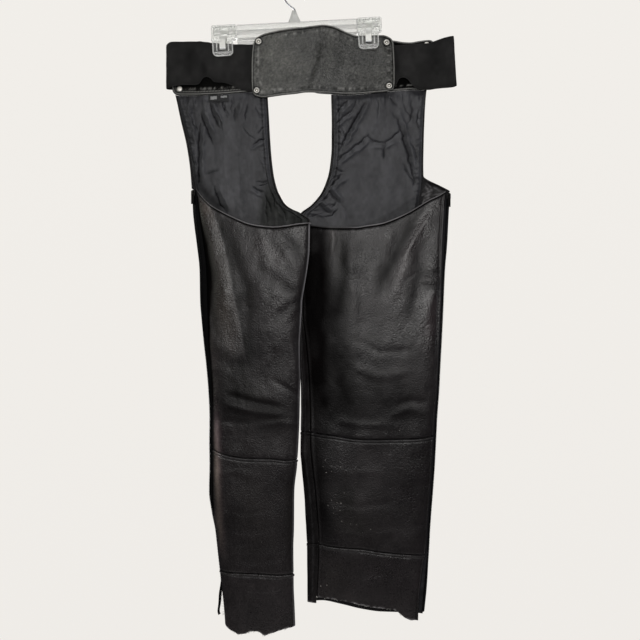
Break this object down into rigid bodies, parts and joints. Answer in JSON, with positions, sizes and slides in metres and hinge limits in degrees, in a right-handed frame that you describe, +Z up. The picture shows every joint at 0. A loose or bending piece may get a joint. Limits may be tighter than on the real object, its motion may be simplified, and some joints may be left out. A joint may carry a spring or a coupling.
{
  "type": "leather chaps on a clip hanger",
  "caption": "Leather riding chaps with a wide back belt panel, elastic sides, lined thighs and outer leg zips, hanging by the belt from a clear clip hanger.",
  "frame": {"origin": "inside top of the hanger's hook, where the hook rests on a rail", "axes": "+Z up; -Y is the seat side of the chaps and +Y their front; -X is the wearer's left leg and +X the right"},
  "size_m": [0.6025, 0.0547, 1.3531],
  "materials": {
    "leg_leather": "soft black grain leather, satin",
    "belt_leather": "charcoal pebble-grain leather",
    "lining_nylon": "smooth charcoal nylon lining",
    "elastic_web": "matte black woven elastic",
    "label_cloth": "plain black woven tag",
    "snap_nickel": "nickel plated press snap",
    "zip_tape": "black zip tape and teeth",
    "zip_metal": "dark plated zip slider",
    "hook_steel": "bright steel wire and strip",
    "hanger_clear": "clear injection-moulded plastic"
  },
  "bodies": {
    "garment_and_hanger": {"back_calf_L": "leg_leather", "back_calf_R": "leg_leather", "back_cuff_L": "leg_leather", "back_cuff_R": "leg_leather", "back_thigh_L": "leg_leather", "back_thigh_R": "leg_leather", "buckle_frame": "snap_nickel", "buckle_tab": "belt_leather", "clip_L_front": "hanger_clear", "clip_L_seat": "hanger_clear", "clip_L_spring": "hook_steel", "clip_R_front": "hanger_clear", "clip_R_seat": "hanger_clear", "clip_R_spring": "hook_steel", "elastic_L": "elastic_web", "elastic_R": "elastic_web", "front_calf_L": "leg_leather", "front_calf_R": "leg_leather", "front_cuff_L": "leg_leather", "front_cuff_R": "leg_leather", "front_hip_L": "leg_leather", "front_hip_R": "leg_leather", "front_strap": "belt_leather", "front_thigh_L": "leg_leather", "front_thigh_R": "leg_leather", "hanger_bar": "hanger_clear", "hanger_hook": "hook_steel", "label_L": "label_cloth", "lining_L": "lining_nylon", "lining_R": "lining_nylon", "lumbar_panel": "belt_leather", "rivet_in_L_high": "snap_nickel", "rivet_in_L_low": "snap_nickel", "rivet_in_R_high": "snap_nickel", "rivet_in_R_low": "snap_nickel", "rivet_out_L_high": "snap_nickel", "rivet_out_L_low": "snap_nickel", "rivet_out_R_high": "snap_nickel", "rivet_out_R_low": "snap_nickel", "snap_back_BL": "snap_nickel", "snap_back_BR": "snap_nickel", "snap_back_TL": "snap_nickel", "snap_back_TR": "snap_nickel", "waistband_L": "belt_leather", "waistband_R": "belt_leather", "waistband_facing_L": "belt_leather", "waistband_facing_R": "belt_leather", "zip_L": "zip_tape", "zip_R": "zip_tape", "zip_slider_L": "zip_metal", "zip_slider_R": "zip_metal", "zip_tail_L": "zip_tape"},
    "pull_tab_L": {"zip_pull_L": "zip_metal"},
    "pull_tab_R": {"zip_pull_R": "zip_metal"}
  },
  "joints": [
    {"name": "pull_tab_L_swing", "type": "hinge", "parent": "garment_and_hanger", "child": "pull_tab_L", "pos_m": [-0.21099, -0.00837, -0.4366], "axis": [-0.9328, 0.3605, 0], "range_deg": [0, 150]},
    {"name": "pull_tab_R_swing", "type": "hinge", "parent": "garment_and_hanger", "child": "pull_tab_R", "pos_m": [0.3204, -0.008, -0.4426], "axis": [-0.9661, -0.258, 0], "range_deg": [0, 150]}
  ]
}
